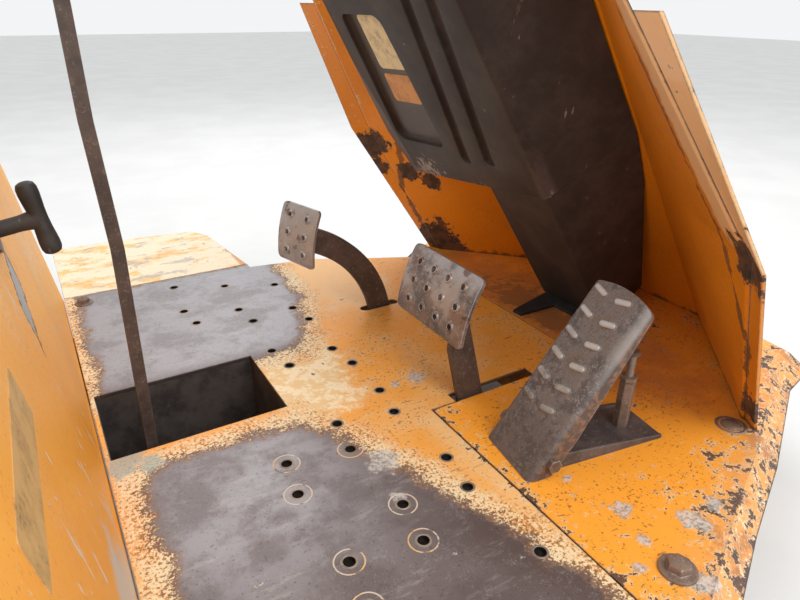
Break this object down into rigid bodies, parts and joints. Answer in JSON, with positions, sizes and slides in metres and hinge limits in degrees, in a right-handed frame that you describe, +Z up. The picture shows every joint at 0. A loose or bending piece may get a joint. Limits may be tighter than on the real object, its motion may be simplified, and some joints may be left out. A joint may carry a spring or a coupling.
{
  "type": "site dumper driver's platform",
  "caption": "Driver's platform of a site dumper: worn floor plates on chassis rails, foot pedals, range lever, seat box wall and a leaning steering console with its wheel.",
  "frame": {"origin": "centre of the rectangle of four mounting holes, on the undersides of the chassis rails", "axes": "+X forward, from the seat box towards the console; +Y to the driver's left; +Z up"},
  "size_m": [1.1274, 1.595, 1.0326],
  "materials": {
    "worn_deck_paint": "orange paint worn through to dark steel over most of the plate",
    "deck_paint": "chipped orange paint",
    "step_paint": "streaked, faded orange paint",
    "frame_paint": "dirty orange paint",
    "seat_wall_paint": "scratched orange paint",
    "cowl_paint": "orange paint, chipped to rust along its edges",
    "black_metal": "worn black paint",
    "pad_steel": "dark worn steel, polished on its edges",
    "rusty_steel": "rusty steel",
    "bare_steel": "bare steel",
    "dark_tray": "oily black",
    "console_plastic": "moulded black plastic, scuffed grey",
    "black_plastic": "black plastic",
    "black_rubber": "black rubber"
  },
  "bodies": {
    "platform": {"floor_plate": "worn_deck_paint", "front_plate": "deck_paint", "left_step_plate": "step_paint", "right_step_plate": "step_paint", "plate_ledges": "frame_paint", "left_rail": "frame_paint", "right_rail": "frame_paint", "rear_cross_member": "frame_paint", "middle_cross_member": "frame_paint", "front_cross_member": "frame_paint", "left_step_brackets": "frame_paint", "right_step_brackets": "frame_paint", "seat_box_wall": "seat_wall_paint", "latch_plate": "black_metal", "pedal_shaft": "bare_steel", "accelerator_base": "black_metal", "treadle_pivot_bolt": "rusty_steel", "treadle_stop_screw": "rusty_steel", "lever_tray": "dark_tray", "lever_pin": "bare_steel", "console_cowl": "cowl_paint", "left_wing_flange": "cowl_paint", "right_wing_flange": "cowl_paint", "dash_panel": "cowl_paint", "console_box": "console_plastic", "column_cover": "console_plastic", "column_gaiter": "black_rubber", "steering_column": "black_metal"},
    "clutch_pedal": {"clutch_boss": "black_metal", "clutch_arm": "black_metal", "clutch_pad": "pad_steel"},
    "brake_pedal": {"brake_boss": "black_metal", "brake_arm": "black_metal", "brake_pad": "pad_steel"},
    "accelerator": {"treadle": "pad_steel"},
    "lever": {"range_lever": "black_metal", "lever_knob": "black_plastic"},
    "steering": {"wheel_shaft": "bare_steel", "steering_wheel": "black_plastic"},
    "latch": {"latch_handle": "black_plastic"}
  },
  "joints": [
    {"name": "clutch_press", "type": "hinge", "parent": "platform", "child": "clutch_pedal", "pos_m": [-0.105, 0.179, 0.068], "axis": [0, 1, 0], "range_deg": [0, 22], "stiffness_Nm_per_rad": 30, "springref_deg": -28.65},
    {"name": "brake_press", "type": "hinge", "parent": "platform", "child": "brake_pedal", "pos_m": [-0.105, -0.131, 0.068], "axis": [0, 1, 0], "range_deg": [0, 20], "stiffness_Nm_per_rad": 40, "springref_deg": -22.92},
    {"name": "accelerator_press", "type": "hinge", "parent": "platform", "child": "accelerator", "pos_m": [0.05236, -0.27257, 0.12601], "axis": [0.1444, 0.9895, 0], "range_deg": [0, 15], "stiffness_Nm_per_rad": 6, "springref_deg": -28.65},
    {"name": "lever_swing", "type": "hinge", "parent": "platform", "child": "lever", "pos_m": [-0.334, 0.045, -0.014], "axis": [0, 1, 0], "range_deg": [-6, 14]},
    {"name": "steering_turn", "type": "hinge", "parent": "platform", "child": "steering", "pos_m": [0.04304, 0, 0.73955], "axis": [-0.5592, 0, 0.829], "continuous": true},
    {"name": "latch_turn", "type": "hinge", "parent": "platform", "child": "latch", "pos_m": [-0.44641, -0.017, 0.399], "axis": [0.9877, 0, 0.1564], "range_deg": [0, 90]}
  ]
}
